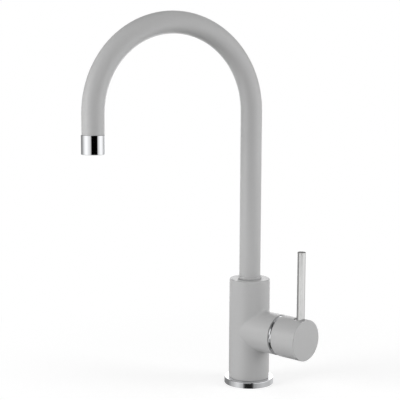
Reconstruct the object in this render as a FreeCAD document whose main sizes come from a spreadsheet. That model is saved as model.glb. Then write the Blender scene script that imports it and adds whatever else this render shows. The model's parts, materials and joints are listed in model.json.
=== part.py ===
"""Deck-mounted mixer tap with a high arched swivel spout and a side lever handle.

Millimetres, +Z up. The origin is on the riser's axis at the underside of the base ring, and the
handle's axis points along +X. The handle is modelled closed and the spout at its rest angle.
"""
import FreeCAD, Part
import math
import os

import Sketcher
from FreeCAD import Placement, Rotation, Vector

os.makedirs("parts", exist_ok=True)
doc = FreeCAD.newDocument("MixerTap")

# Driving sizes

SIZES = {
    # body and base
    "body_dia": 46.0, "body_top": 120.9, "boss_dia": 45.4, "boss_end": 46.0, "handle_height": 63.1,
    "seam_fillet": 3.5, "top_fillet": 1.6, "rim_fillet": 0.6, "foot_chamfer": 0.4,
    "base_dia": 56.0, "base_height": 6.8, "base_fillet": 1.0, "base_bore_dia": 36.0,
    "spigot_bottom": 1.0,
    "deck_seal_dia": 48.0, "deck_seal_width": 3.0, "deck_seal_thick": 2.0, "spigot_gap": 0.2,
    "base_cord": 1.5, "base_cord_dia": 40.6, "base_groove": 2.0,
    # waterways
    "port_x": 4.0, "port_y": 8.0, "port_thread_dia": 9.0, "port_depth": 13.0, "channel_dia": 8.0,
    "inlet_drop": 4.5, "outlet_rise": 8.5, "mixed_bore_dia": 14.0, "mixed_sump": 1.0,
    # spout bearing, from the body's top down
    "top_ring_dia": 42.0, "top_ring_thick": 2.5, "slide_height": 5.5, "slide_wall": 2.1,
    "screw_land": 0.5, "cord_drop": 7.8, "cord_pitch": 6.0, "foot_tail": 8.2, "thrust_thick": 1.9,
    "foot_dia": 20.0, "foot_bore_dia": 13.0, "cord_section": 1.7, "cord_proud": 0.12,
    "screw_dia": 5.0, "dog_dia": 3.8, "dog_length": 2.4, "dog_gap": 0.4, "screw_length": 11.6,
    "screw_groove_depth": 1.5, "hex_key": 2.5,
    # spout
    "tube_dia": 24.0, "tube_wall": 1.5, "arch_radius": 95.2, "leg_length": 21.8,
    "spout_angle": -107.2, "collar_dia": 26.4, "collar_height": 3.0, "collar_fillet": 1.0,
    "plug_length": 14.7,
    "sleeve_dia": 25.4, "outlet_height": 267.9, "sleeve_height": 20.0, "sleeve_lip": 1.2,
    "sleeve_lip_bore": 19.2, "outlet_thread_dia": 22.0, "outlet_bore_dia": 16.0,
    "insert_height": 7.2, "insert_floor": 2.0, "insert_wall": 1.5, "gasket_thick": 2.0,
    "screen_thick": 0.6, "screen_post_dia": 2.0, "screen_rise": 2.0, "jet_dia": 1.8, "jet_ring": 3.4,
    # cartridge, measured along the handle's axis from the riser's axis
    "seat_x": 12.0, "cavity_dia": 36.4, "nut_thread_dia": 38.0, "nut_start": 38.0, "nut_height": 5.5,
    "nut_relief": 1.0, "notch_width": 4.0, "notch_depth": 2.5, "notch_floor": 2.0,
    "nut_bore_dia": 26.0, "cartridge_dia": 35.0, "cartridge_wall": 2.0, "bottom_thick": 3.5,
    "disc_thick": 3.0, "moving_disc_dia": 23.0, "port_hole_dia": 7.0, "port_seal": 1.5,
    "seal_land": 1.0, "mix_pocket_dia": 13.8, "mix_pocket_shift": 1.5,
    "carrier_thick": 3.65, "tongue_height": 1.4, "tongue_width": 14.0, "tongue_length": 16.0,
    "housing_front": 3.0, "neck_dia": 18.6, "neck_end": 41.0,
    "pivot_x": 30.0, "pivot_dia": 3.0, "pivot_length": 24.0, "arm_length": 6.0, "ball_dia": 4.4,
    "arm_dia": 3.2, "spindle_width": 7.0, "spindle_length": 38.0, "spindle_rest_tilt": 12.5,
    "eye_dia": 6.4, "guide_slot_length": 12.8,
    # handle
    "dome_dia": 56.8, "dome_wall": 1.6, "dome_end": 53.5, "dome_skirt": 2.2, "band_dia": 43.4,
    "band_width": 2.1,
    "cap_dia": 45.6, "cap_start": 50.0, "cap_end": 81.7, "cap_wall": 2.2, "cap_face": 3.0,
    "cap_fillet": 0.6, "relief_depth": 2.0, "relief_start": 5.0,
    "block_width": 13.0, "block_start": 28.4, "block_up": 6.5, "block_down": 12.0,
    "socket_lead": 2.0, "clamp_tip": 1.0, "plug_sink": 0.5,
    "lever_dia": 9.0, "lever_height": 74.0, "lever_x": 73.8, "lever_fillet": 0.5,
    "lever_seat_dia": 14.5, "lever_seat_depth": 1.0, "lever_thread_dia": 6.0, "lever_thread": 8.0,
    "clamp_along": 33.5, "clamp_length": 9.0, "plug_dia": 7.0, "plug_thick": 2.2,
    # fixing kit below the worktop
    "worktop": 38.0, "stud_x": -12.0, "stud_dia": 8.0, "stud_in": 12.0, "stud_tail": 75.0,
    "washer_dia": 50.0, "slot_half": 14.5, "slot_edge": -3.0, "rubber_thick": 2.5, "plate_thick": 3.0,
    "nut_across": 13.0, "nut_length": 16.0,
    # clearances
    "running": 0.08, "face_gap": 0.3, "disc_gap": 0.05, "fit": 0.05, "thread_fit": 0.05,
}

sheet = doc.addObject("Spreadsheet::Sheet", "Sizes")
for row, (alias, number) in enumerate(SIZES.items(), 1):
    sheet.set(f"A{row}", alias)
    sheet.set(f"B{row}", str(number))
    sheet.setAlias(f"B{row}", alias)
doc.recompute()

OVERSHOOT = 2  # how far a cutting shape reaches past the piece that it cuts


class Size:
    """A length or angle worked out from the sheet: its number and the expression that gives it."""

    def __init__(self, number, text):
        self.number, self.text = number, text

    def joined(self, sign, other, number):
        return Size(number, f"({self.text} {sign} {other.text})")

    def __add__(self, other):
        other = as_size(other)
        return self.joined("+", other, self.number + other.number)

    def __radd__(self, other):
        return as_size(other) + self

    def __sub__(self, other):
        other = as_size(other)
        return self.joined("-", other, self.number - other.number)

    def __rsub__(self, other):
        return as_size(other) - self

    def __mul__(self, other):
        other = as_size(other)
        return self.joined("*", other, self.number * other.number)

    __rmul__ = __mul__

    def __truediv__(self, other):
        other = as_size(other)
        return self.joined("/", other, self.number / other.number)

    def __neg__(self):
        return Size(-self.number, f"(0 - {self.text})")


def as_size(value):
    return value if isinstance(value, Size) else Size(float(value), str(value))


def cosine(angle):
    return Size(math.cos(math.radians(angle.number)), f"cos({angle.text})")


def sine(angle):
    return Size(math.sin(math.radians(angle.number)), f"sin({angle.text})")


def number(value):
    return as_size(value).number


class Named:
    """Every cell of the sheet as a Size, by its alias."""

    def __getattr__(self, alias):
        return Size(sheet.get(alias), f"Sizes.{alias}")


d = Named()


def bind(thing, path, value):
    """Ties one property to the sheet, or sets it where it is a plain number."""
    if isinstance(value, Size):
        thing.setExpression(path, value.text)
    else:
        setattr(thing, path, value)


def put(thing, at=(0, 0, 0), turn=None):
    """Gives an object its place, with each coordinate tied to the sheet."""
    thing.Placement = Placement(Vector(*map(number, at)), turn or Rotation())
    for axis, value in zip("xyz", at):
        if isinstance(value, Size):
            thing.setExpression(f"Placement.Base.{axis}", value.text)
    return thing


# Building blocks

pieces = {}


def keep(label, thing):
    thing.Label = label
    pieces[label] = thing
    return thing


class Body:
    """A PartDesign body, its sketches and its features."""

    def __init__(self, label):
        self.label, self.steps = label, 0
        self.body = doc.addObject("PartDesign::Body", label)
        keep(label, self.body)

    def add(self, kind):
        self.steps += 1
        return self.body.newObject(kind, f"{self.label}_{kind.split('::')[1].lower()}_{self.steps}")

    def sketch(self, role, lift=0):
        sketch = self.add("Sketcher::SketchObject")
        flat = [f for f in self.body.Origin.OriginFeatures if f.Role == role][0]
        sketch.AttachmentSupport = [(flat, "")]
        sketch.MapMode = "FlatFace"
        sketch.AttachmentOffset = Placement(Vector(0, 0, number(lift)), Rotation())
        if isinstance(lift, Size):
            sketch.setExpression("AttachmentOffset.Base.z", lift.text)
        return sketch

    def polygon(self, role, corners, lift=0):
        sketch = self.sketch(role, lift)
        spots = [Vector(number(x), number(y), 0) for x, y in corners]
        for spot, following in zip(spots, spots[1:] + spots[:1]):
            sketch.addGeometry(Part.LineSegment(spot, following), False)
        for i in range(len(spots)):
            sketch.addConstraint(Sketcher.Constraint("Coincident", i, 2, (i + 1) % len(spots), 1))
        for i, corner in enumerate(corners):
            self.locate(sketch, i, 1, corner)
        return sketch

    def circles(self, role, rounds, lift=0):
        """Circles given as (x, y, diameter)."""
        sketch = self.sketch(role, lift)
        for i, (x, y, dia) in enumerate(rounds):
            centre = Vector(number(x), number(y), 0)
            sketch.addGeometry(Part.Circle(centre, Vector(0, 0, 1), number(dia) / 2), False)
            self.locate(sketch, i, 3, (x, y))
            tied = sketch.addConstraint(Sketcher.Constraint("Diameter", i, number(dia)))
            if isinstance(dia, Size):
                sketch.setExpression(f"Constraints[{tied}]", dia.text)
        return sketch

    def locate(self, sketch, line, point, corner):
        """Ties a point to the sketch's axes, or to its distance from them."""
        for kind, value, axis in (("DistanceX", corner[0], -2), ("DistanceY", corner[1], -1)):
            if not isinstance(value, Size) and value == 0:
                sketch.addConstraint(Sketcher.Constraint("PointOnObject", line, point, axis))
                continue
            rule = Sketcher.Constraint(kind, -1, 1, line, point, number(value))
            tied = sketch.addConstraint(rule)
            if isinstance(value, Size):
                sketch.setExpression(f"Constraints[{tied}]", value.text)

    def turn(self, corners, cut=False):
        """A Revolution or Groove of (radius, height) corners about the body's Z axis."""
        sketch = self.polygon("XZ_Plane", corners)
        feature = self.add("PartDesign::Groove" if cut else "PartDesign::Revolution")
        feature.Profile = sketch
        feature.ReferenceAxis = (sketch, ["V_Axis"])
        feature.Angle = 360
        return self.done(feature, cut)

    def extrude(self, sketch, length, cut=False, both=False, reverse=False):
        feature = self.add("PartDesign::Pocket" if cut else "PartDesign::Pad")
        feature.Profile = sketch
        feature.SideType = "Symmetric" if both else "One side"
        feature.Reversed = reverse
        bind(feature, "Length", length)
        return self.done(feature, cut)

    def repeat(self, feature, count):
        """The feature repeated round the body's Z axis."""
        pattern = self.add("PartDesign::PolarPattern")
        pattern.Originals = [feature]
        pattern.Axis = (feature.Profile[0], ["N_Axis"])
        pattern.Angle = 360
        pattern.Occurrences = count
        self.body.Tip = pattern
        return self.done(pattern, None)

    def done(self, feature, cut):
        """Recomputes, and makes sure that a cut took material away and a pad added some."""
        doc.recompute()
        if cut is not None and feature.BaseFeature is not None:
            change = feature.Shape.Volume - feature.BaseFeature.Shape.Volume
            if (change < 0) != cut:
                raise RuntimeError(f"{feature.Name} changed the volume by {change:.3f}")
        return feature

    def edges(self, wanted):
        base = self.body.Tip
        return base, [f"Edge{i}" for i, edge in enumerate(base.Shape.Edges, 1) if wanted(edge)]

    def blend(self, kind, size, wanted):
        """A Fillet or Chamfer on the edges that pass the test."""
        base, names = self.edges(wanted)
        if not names:
            raise RuntimeError(f"{self.label}: no edge to blend")
        feature = self.add(kind)
        feature.Base = (base, names)
        bind(feature, "Radius" if kind.endswith("Fillet") else "Size", size)
        return self.done(feature, None)

    def round_rim(self, size, radius, height, kind="PartDesign::Fillet"):
        """Blends the circular edge of this radius at this height."""
        def wanted(edge):
            curve = edge.Curve
            return (curve.TypeId == "Part::GeomCircle" and abs(curve.Radius - number(radius)) < 1e-3
                    and abs(curve.Center.z - number(height)) < 1e-3 and abs(curve.Axis.z) > 0.999)
        return self.blend(kind, size, wanted)

    def place(self, at=(0, 0, 0), turn=None):
        put(self.body, at, turn)
        return self


def ring(label, inner, outer, bottom, top):
    """A plain ring or, with no inner radius, a plain disc."""
    piece = Body(label)
    piece.turn([(inner, bottom), (outer, bottom), (outer, top), (inner, top)])
    return piece


def solid(kind, name, at=(0, 0, 0), turn=None, **sizes):
    """A Part primitive with its sizes and place tied to the sheet."""
    thing = doc.addObject(f"Part::{kind}", name)
    for prop, value in sizes.items():
        bind(thing, prop, value)
    return put(thing, at, turn)


def joined(name, parts):
    thing = doc.addObject("Part::MultiFuse", name)
    thing.Shapes = parts
    return thing


def cut(name, base, tool):
    thing = doc.addObject("Part::Cut", name)
    thing.Base, thing.Tool = base, tool
    return thing


def group(label, parts):
    """Like solids that share one node."""
    thing = doc.addObject("Part::Compound", label)
    thing.Links = parts
    return keep(label, thing)


# The handle's pieces are drawn upright: their Z axis lies along the handle's axis and their X axis
# points up.
ALONG_HANDLE = Rotation(Vector(1, 0, 1), 180)
HANDLE = (0, 0, d.handle_height)

# Radii and heights that several pieces share
body_r = d.body_dia / 2
foot_r = d.foot_dia / 2
cord_r = foot_r + d.cord_proud
socket_r = cord_r + d.running
slide_r = foot_r + d.slide_wall
top_ring_bottom = d.body_top - d.top_ring_thick
slide_seat = top_ring_bottom - d.slide_height
screw_height = slide_seat - d.screw_dia / 2 - d.screw_land
upper_cord = screw_height - d.cord_drop
lower_cord = upper_cord - d.cord_pitch
socket_floor = lower_cord - d.foot_tail
foot_bottom = socket_floor + d.thrust_thick + d.running
collar_bottom = d.body_top + d.face_gap
collar_top = collar_bottom + d.collar_height
tube_r = d.tube_dia / 2
tube_in = tube_r - d.tube_wall
sleeve_top = d.outlet_height + d.sleeve_height
arch_height = sleeve_top + d.leg_length
reach = 2 * d.arch_radius
cavity_r = d.cavity_dia / 2
bottom_top = d.seat_x + d.bottom_thick
fixed_top = bottom_top + d.disc_thick
moving_bottom = fixed_top + d.disc_gap
carrier_bottom = moving_bottom + d.disc_thick
carrier_top = carrier_bottom + d.carrier_thick
guide_bottom = carrier_top + 2 * d.disc_gap
guide_top = d.nut_start - d.housing_front - 2 * d.disc_gap
cartridge_r = d.cartridge_dia / 2
chamber_r = cartridge_r - d.cartridge_wall
cap_r = d.cap_dia / 2
cap_in = cap_r - d.cap_wall
lever_foot = cap_r - d.lever_seat_depth


# Body and base

def mixer_body():
    """One casting: upright, side boss, spout socket, cartridge cavity and waterways."""
    piece = Body("mixer_body")
    spigot_r = d.base_bore_dia / 2 - d.spigot_gap
    piece.turn([(0, d.spigot_bottom), (spigot_r, d.spigot_bottom), (spigot_r, d.base_height),
                (body_r, d.base_height), (body_r, d.body_top), (0, d.body_top)])
    boss = piece.circles("YZ_Plane", [(0, d.handle_height, d.boss_dia)])
    piece.extrude(boss, d.boss_end)
    piece.blend("PartDesign::Fillet", d.seam_fillet,
                lambda edge: edge.Curve.TypeId == "Part::GeomBSplineCurve")
    piece.round_rim(d.top_fillet, body_r, d.body_top)
    piece.round_rim(d.foot_chamfer, body_r, d.base_height, "PartDesign::Chamfer")
    piece.blend("PartDesign::Fillet", d.rim_fillet,
                lambda edge: edge.Curve.TypeId == "Part::GeomCircle"
                and abs(edge.Curve.Center.x - d.boss_end.number) < 1e-3
                and abs(edge.Curve.Radius - d.boss_dia.number / 2) < 1e-3)
    # spout socket from the top, down to the mixed-water bore
    ring_r = d.top_ring_dia / 2 + d.fit
    mixed_r = d.mixed_bore_dia / 2
    mixed_floor = d.handle_height + d.outlet_rise - d.channel_dia / 2 - d.mixed_sump
    piece.turn([(0, mixed_floor), (mixed_r, mixed_floor), (mixed_r, socket_floor),
                (socket_r, socket_floor), (socket_r, slide_seat), (slide_r, slide_seat),
                (slide_r, top_ring_bottom), (ring_r, top_ring_bottom), (ring_r, d.body_top),
                (0, d.body_top)], cut=True)
    # cartridge cavity and nut thread from the boss's end
    for dia, floor in ((d.cavity_dia, d.seat_x), (d.nut_thread_dia, d.nut_start - d.nut_relief)):
        mouth = piece.circles("YZ_Plane", [(0, d.handle_height, dia)], lift=d.boss_end)
        piece.extrude(mouth, d.boss_end - floor, cut=True)
    # waterways: two inlets up from the base, one outlet across to the mixed-water bore
    inlet_z = d.handle_height - d.inlet_drop
    pair = [(d.port_x, d.port_y, d.channel_dia), (d.port_x, -d.port_y, d.channel_dia)]
    piece.extrude(piece.circles("XY_Plane", pair, lift=d.spigot_bottom),
                  inlet_z + d.channel_dia / 2 - d.spigot_bottom, cut=True, reverse=True)
    threads = [(x, y, d.port_thread_dia) for x, y, _ in pair]
    piece.extrude(piece.circles("XY_Plane", threads, lift=d.spigot_bottom), d.port_depth,
                  cut=True, reverse=True)
    across = [(d.port_y, inlet_z, d.channel_dia), (-d.port_y, inlet_z, d.channel_dia)]
    piece.extrude(piece.circles("YZ_Plane", across, lift=d.seat_x), d.seat_x - d.port_x, cut=True)
    outlet = [(0, d.handle_height + d.outlet_rise, d.channel_dia)]
    piece.extrude(piece.circles("YZ_Plane", outlet, lift=d.seat_x), d.seat_x, cut=True)
    # stud thread, and the thread of the screw that keeps the spout
    stud = [(d.stud_x, 0, d.stud_dia)]
    piece.extrude(piece.circles("XY_Plane", stud, lift=d.spigot_bottom), d.stud_in, cut=True,
                  reverse=True)
    screw = [(0, screw_height, d.screw_dia)]
    piece.extrude(piece.circles("XZ_Plane", screw), body_r + OVERSHOOT, cut=True)
    return piece.place()


def base_ring():
    """Polished ring that the body stands on, grooved for the deck seal and the body's seal."""
    outer = d.base_dia / 2
    seal_in = d.deck_seal_dia / 2
    seal_out = seal_in + d.deck_seal_width
    cord_in, cord_out = (d.base_cord_dia - d.base_groove) / 2, (d.base_cord_dia + d.base_groove) / 2
    cord_floor = d.base_height - d.base_cord
    bore = d.base_bore_dia / 2
    piece = Body("base_ring")
    piece.turn([(bore, 0), (seal_in, 0), (seal_in, d.deck_seal_thick),
                (seal_out, d.deck_seal_thick), (seal_out, 0), (outer, 0), (outer, d.base_height),
                (cord_out, d.base_height), (cord_out, cord_floor), (cord_in, cord_floor),
                (cord_in, d.base_height), (bore, d.base_height)])
    piece.round_rim(d.base_fillet, outer, d.base_height)
    return piece.place()


def seals_and_rings():
    """What lies between the body, the base ring and the spout's foot."""
    seal_in = d.deck_seal_dia / 2
    ring("deck_seal", seal_in + d.fit, seal_in + d.deck_seal_width - d.fit, 0, d.deck_seal_thick)
    keep("base_o_ring", solid("Torus", "base_o_ring", Radius1=d.base_cord_dia / 2,
                              Radius2=d.base_cord / 2,
                              at=(0, 0, d.base_height - d.base_cord / 2)))
    ring("top_ring", foot_r + d.face_gap, d.top_ring_dia / 2, top_ring_bottom, d.body_top)
    ring("upper_slide_ring", foot_r + d.running, slide_r - d.fit / 2, slide_seat, top_ring_bottom)
    ring("lower_slide_ring", d.mixed_bore_dia / 2, socket_r - d.fit, socket_floor,
         socket_floor + d.thrust_thick)


def corner_radius(across):
    """A hexagon's corner radius from its width across the flats."""
    return across / 2 / cosine(as_size(180 / 6))


def hex_screw(label, dia, length, tip_dia, tip_length, at, turn):
    """Headless screw along its own Z axis from its tip, with a hexagon socket in the far end."""
    tip = solid("Cylinder", f"{label}_tip", Radius=tip_dia / 2, Height=tip_length)
    shank = solid("Cylinder", f"{label}_shank", Radius=dia / 2 - d.thread_fit / 2,
                  Height=length - tip_length, at=(0, 0, tip_length))
    socket = solid("Prism", f"{label}_socket", Polygon=6, Circumradius=corner_radius(d.hex_key),
                   Height=d.hex_key, at=(0, 0, length - d.hex_key))
    return keep(label, put(cut(label, joined(f"{label}_bar", [tip, shank]), socket), at, turn))


# Spout

def spout_piece(piece):
    """Turns a spout piece drawn along +X to the spout's rest angle."""
    thing = piece.body if isinstance(piece, Body) else piece
    put(thing, turn=Rotation(Vector(0, 0, 1), d.spout_angle.number))
    thing.setExpression("Placement.Rotation.Angle", d.spout_angle.text)


def spout_end_piece(piece):
    """Moves a piece drawn about the origin's Z axis to the axis of the spout's outlet."""
    put(piece.body, (reach * cosine(d.spout_angle), reach * sine(d.spout_angle), 0),
        Rotation(Vector(0, 0, 1), d.spout_angle.number))
    piece.body.setExpression("Placement.Rotation.Angle", d.spout_angle.text)


def spout_tube():
    """Bent tube: up the riser, half a turn over the arch, and down to the outlet."""
    piece = Body("spout_tube")
    annulus = [(0, 0, d.tube_dia), (0, 0, 2 * tube_in)]
    piece.extrude(piece.circles("XY_Plane", annulus, lift=collar_top), arch_height - collar_top)
    bend = piece.circles("XY_Plane", annulus, lift=arch_height)
    arch = piece.add("PartDesign::Revolution")
    arch.Profile = bend
    axis_x, half = d.arch_radius.number, tube_r.number
    axis = bend.addGeometry(Part.LineSegment(Vector(axis_x, -half, 0), Vector(axis_x, half, 0)), True)
    for point, side in ((1, -tube_r), (2, tube_r)):
        piece.locate(bend, axis, point, (d.arch_radius, side))
    arch.ReferenceAxis = (bend, ["Axis0"])
    arch.Angle = 180
    arch.Reversed = False
    piece.done(arch, False)
    leg = [(reach, 0, dia) for _, _, dia in annulus]
    piece.extrude(piece.circles("XY_Plane", leg, lift=sleeve_top), arch_height - sleeve_top)
    spout_piece(piece)


def spout_socket():
    """Turned foot: brazed into the tube above its collar, and grooved below for seals and screw."""
    bore = d.foot_bore_dia / 2
    groove_r = cord_r - d.cord_section
    groove_half = d.cord_section / 2 + d.face_gap
    outline = [(bore, foot_bottom), (foot_r, foot_bottom)]
    for height, floor, half in ((lower_cord, groove_r, groove_half),
                                (upper_cord, groove_r, groove_half),
                                (screw_height, foot_r - d.screw_groove_depth,
                                 d.dog_dia / 2 + d.dog_gap)):
        outline += [(foot_r, height - half), (floor, height - half),
                    (floor, height + half), (foot_r, height + half)]
    collar_r = d.collar_dia / 2
    plug_r = tube_in - d.fit
    outline += [(foot_r, collar_bottom), (collar_r, collar_bottom), (collar_r, collar_top),
                (plug_r, collar_top), (plug_r, collar_top + d.plug_length),
                (bore, collar_top + d.plug_length)]
    piece = Body("spout_socket")
    piece.turn(outline)
    piece.round_rim(d.collar_fillet, collar_r, collar_top)
    spout_piece(piece)


def socket_o_rings():
    cords = [solid("Torus", f"socket_cord_{i}", at=(0, 0, height), Radius2=d.cord_section / 2,
                   Radius1=cord_r - d.cord_section / 2)
             for i, height in enumerate((lower_cord, upper_cord), 1)]
    spout_piece(group("socket_o_rings", cords))


thread_r = d.outlet_thread_dia / 2
insert_bottom = d.outlet_height + d.sleeve_lip
insert_top = insert_bottom + d.insert_height
adapter_bottom = insert_top + d.gasket_thick


def outlet_pieces():
    """Threaded end of the tube, the polished sleeve screwed on it and the aerator inside."""
    bore = d.outlet_bore_dia / 2
    plug_r = tube_in - d.fit
    adapter = Body("outlet_adapter")
    adapter.turn([(bore, adapter_bottom), (thread_r - d.thread_fit, adapter_bottom),
                  (thread_r - d.thread_fit, sleeve_top), (plug_r, sleeve_top),
                  (plug_r, sleeve_top + d.plug_length), (bore, sleeve_top + d.plug_length)])
    sleeve_r = d.sleeve_dia / 2
    lip_r = d.sleeve_lip_bore / 2
    sleeve = Body("aerator_housing")
    sleeve.turn([(lip_r, d.outlet_height), (sleeve_r, d.outlet_height), (sleeve_r, sleeve_top),
                 (thread_r, sleeve_top), (thread_r, insert_bottom), (lip_r, insert_bottom)])
    for height in (d.outlet_height, sleeve_top):
        sleeve.round_rim(d.foot_chamfer, sleeve_r, height)
    insert_r = thread_r - d.fit
    floor = insert_bottom + d.insert_floor
    insert = Body("aerator_insert")
    insert.turn([(0, insert_bottom), (insert_r, insert_bottom), (insert_r, insert_top),
                 (insert_r - d.insert_wall, insert_top), (insert_r - d.insert_wall, floor),
                 (0, floor)])
    jets(insert, floor, d.insert_floor)
    screen_r = insert_r - d.insert_wall - d.fit
    post_r = d.screen_post_dia / 2
    screen_bottom = floor + d.screen_rise
    screen = Body("aerator_screen")
    screen.turn([(0, floor), (post_r, floor), (post_r, screen_bottom), (screen_r, screen_bottom),
                 (screen_r, screen_bottom + d.screen_thick), (0, screen_bottom + d.screen_thick)])
    jets(screen, screen_bottom + d.screen_thick, d.screen_thick)
    gasket = ring("aerator_gasket", bore, insert_r, insert_top, adapter_bottom)
    for piece in (adapter, sleeve, insert, screen, gasket):
        spout_end_piece(piece)


def jets(piece, top, depth):
    """Two rings of water holes down through a plate."""
    for turns, count in ((1, 6), (2, 12)):
        hole = piece.circles("XY_Plane", [(turns * d.jet_ring, 0, d.jet_dia)], lift=top)
        piece.repeat(piece.extrude(hole, depth, cut=True), count)


# Cartridge

inlet_holes = [(-d.inlet_drop, d.port_y), (-d.inlet_drop, -d.port_y)]
all_holes = inlet_holes + [(d.outlet_rise, 0)]


def along_handle(piece):
    put(piece.body if isinstance(piece, Body) else piece, HANDLE, ALONG_HANDLE)


def cartridge_fixed():
    """Base with its seals, housing, lower ceramic disc and the nut that clamps them."""
    bottom = ring("cartridge_base", 0, cartridge_r, d.seat_x, bottom_top)
    holes = [(x, y, d.port_hole_dia) for x, y in all_holes]
    seats = [(x, y, d.channel_dia + d.seal_land + d.port_seal) for x, y in all_holes]
    bottom.extrude(bottom.circles("XY_Plane", holes, lift=bottom_top), d.bottom_thick, cut=True)
    bottom.extrude(bottom.circles("XY_Plane", seats, lift=d.seat_x), d.port_seal, cut=True,
                   reverse=True)
    seals = [solid("Torus", f"port_seal_{i}", at=(x, y, d.seat_x + d.port_seal / 2),
                   Radius1=(d.channel_dia + d.seal_land) / 2, Radius2=d.port_seal / 2)
             for i, (x, y) in enumerate(all_holes, 1)]
    housing = Body("cartridge_housing")
    neck_r = d.neck_dia / 2 + d.running
    front = d.nut_start - d.housing_front
    housing.turn([(chamber_r, bottom_top), (cartridge_r, bottom_top), (cartridge_r, d.nut_start),
                  (neck_r, d.nut_start), (neck_r, front), (chamber_r, front)])
    disc = ring("fixed_ceramic_disc", 0, chamber_r - d.fit, bottom_top, fixed_top)
    disc.extrude(disc.circles("XY_Plane", holes, lift=fixed_top), d.disc_thick, cut=True)
    nut = ring("cartridge_nut", d.nut_bore_dia / 2, d.nut_thread_dia / 2 - d.thread_fit,
               d.nut_start, d.nut_start + d.nut_height)
    inner, outer, half = d.nut_bore_dia / 2 - 1, d.nut_bore_dia / 2 + d.notch_depth, d.notch_width / 2
    notch = nut.polygon("XY_Plane", [(inner, -half), (outer, -half), (outer, half), (inner, half)],
                        lift=d.nut_start + d.nut_height)
    nut.repeat(nut.extrude(notch, d.nut_height - d.notch_floor, cut=True), 6)
    for piece in (bottom, group("cartridge_seals", seals), housing, disc, nut):
        along_handle(piece)


closed_offset = -d.arm_length * sine(d.spindle_rest_tilt)


def cartridge_slide():
    """Upper ceramic disc and its carrier, set off-centre while the tap is closed."""
    disc = Body("moving_ceramic_disc")
    disc.extrude(disc.circles("XY_Plane", [(closed_offset, 0, d.moving_disc_dia)],
                              lift=moving_bottom), d.disc_thick)
    pocket = [(closed_offset + d.mix_pocket_shift, 0, d.mix_pocket_dia)]
    disc.extrude(disc.circles("XY_Plane", pocket, lift=moving_bottom), d.disc_thick / 2, cut=True,
                 reverse=True)
    carrier = Body("disc_carrier")
    carrier.extrude(carrier.circles("XY_Plane", [(closed_offset, 0, d.moving_disc_dia)],
                                    lift=carrier_bottom), d.carrier_thick)
    half_x, half_y = d.tongue_length / 2, d.tongue_width / 2
    tongue = [(closed_offset - half_x, -half_y), (closed_offset + half_x, -half_y),
              (closed_offset + half_x, half_y), (closed_offset - half_x, half_y)]
    carrier.extrude(carrier.polygon("XY_Plane", tongue, lift=carrier_top), d.tongue_height)
    hole = [(closed_offset, 0, d.ball_dia + 3 * d.running)]
    carrier.extrude(carrier.circles("XY_Plane", hole, lift=carrier_top + d.tongue_height),
                    d.carrier_thick + d.tongue_height, cut=True)
    for piece in (disc, carrier):
        along_handle(piece)


def cartridge_rotor():
    """Guide that turns with the handle, and the pin that the spindle tilts on."""
    guide = Body("rotor_guide")
    neck_r = d.neck_dia / 2
    flange_r = chamber_r - d.running
    guide.turn([(0, guide_bottom), (flange_r, guide_bottom), (flange_r, guide_top),
                (neck_r, guide_top), (neck_r, d.neck_end), (0, d.neck_end)])
    half_y = d.tongue_width / 2 + d.running
    track = [(-flange_r, -half_y), (flange_r, -half_y), (flange_r, half_y), (-flange_r, half_y)]
    guide.extrude(guide.polygon("XY_Plane", track, lift=guide_bottom),
                  d.tongue_height + d.face_gap, cut=True, reverse=True)
    half_slot_x = d.guide_slot_length / 2
    half_slot_y = d.spindle_width / 2 + d.running
    slot = [(-half_slot_x, -half_slot_y), (half_slot_x, -half_slot_y),
            (half_slot_x, half_slot_y), (-half_slot_x, half_slot_y)]
    guide.extrude(guide.polygon("XY_Plane", slot, lift=d.neck_end), d.neck_end - guide_bottom,
                  cut=True)
    guide.extrude(guide.circles("XZ_Plane", [(0, d.pivot_x, d.pivot_dia)]), d.pivot_length,
                  cut=True, both=True)
    along_handle(guide)
    pin = solid("Cylinder", "pivot_pin", Radius=d.pivot_dia / 2, Height=d.pivot_length,
                at=(d.pivot_x, -d.pivot_length / 2, d.handle_height),
                turn=Rotation(Vector(1, 0, 0), -90))
    keep("pivot_pin", pin)


def spindle():
    """Square bar from the pivot into the handle, with an eye and a ball-ended arm below it."""
    half = d.spindle_width / 2
    bar = solid("Box", "spindle_bar", Length=d.spindle_width, Width=d.spindle_width,
                Height=d.spindle_length, at=(-half, -half, 0))
    eye = solid("Cylinder", "spindle_eye", Radius=d.eye_dia / 2, Height=d.spindle_width,
                at=(0, -half, 0), turn=Rotation(Vector(1, 0, 0), -90))
    arm = solid("Cylinder", "spindle_arm", Radius=d.arm_dia / 2, Height=d.arm_length,
                at=(0, 0, -d.arm_length))
    ball = solid("Sphere", "spindle_ball", Radius=d.ball_dia / 2, at=(0, 0, -d.arm_length))
    bore = solid("Cylinder", "spindle_bore", Radius=d.pivot_dia / 2 + d.running,
                 Height=d.spindle_width + 2 * OVERSHOOT, at=(0, -half - OVERSHOOT, 0),
                 turn=Rotation(Vector(1, 0, 0), -90))
    whole = cut("spindle", joined("spindle_blank", [bar, eye, arm, ball]), bore)
    keep("spindle", tilted(whole))


def tilted(thing, along=0, across=0):
    """Places a piece whose Z axis runs along the spindle, at its closed tilt above the axis."""
    tilt = d.spindle_rest_tilt
    x = d.pivot_x + along * cosine(tilt) - across * sine(tilt)
    z = d.handle_height + along * sine(tilt) + across * cosine(tilt)
    put(thing, (x, 0, z), Rotation(Vector(1, 0, 1), 180))
    thing.setExpression("Placement.Rotation.Axis.x", f"cos(45 + {(tilt / 2).text})")
    thing.setExpression("Placement.Rotation.Axis.z", f"sin(45 + {(tilt / 2).text})")
    return thing


# Handle

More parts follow.
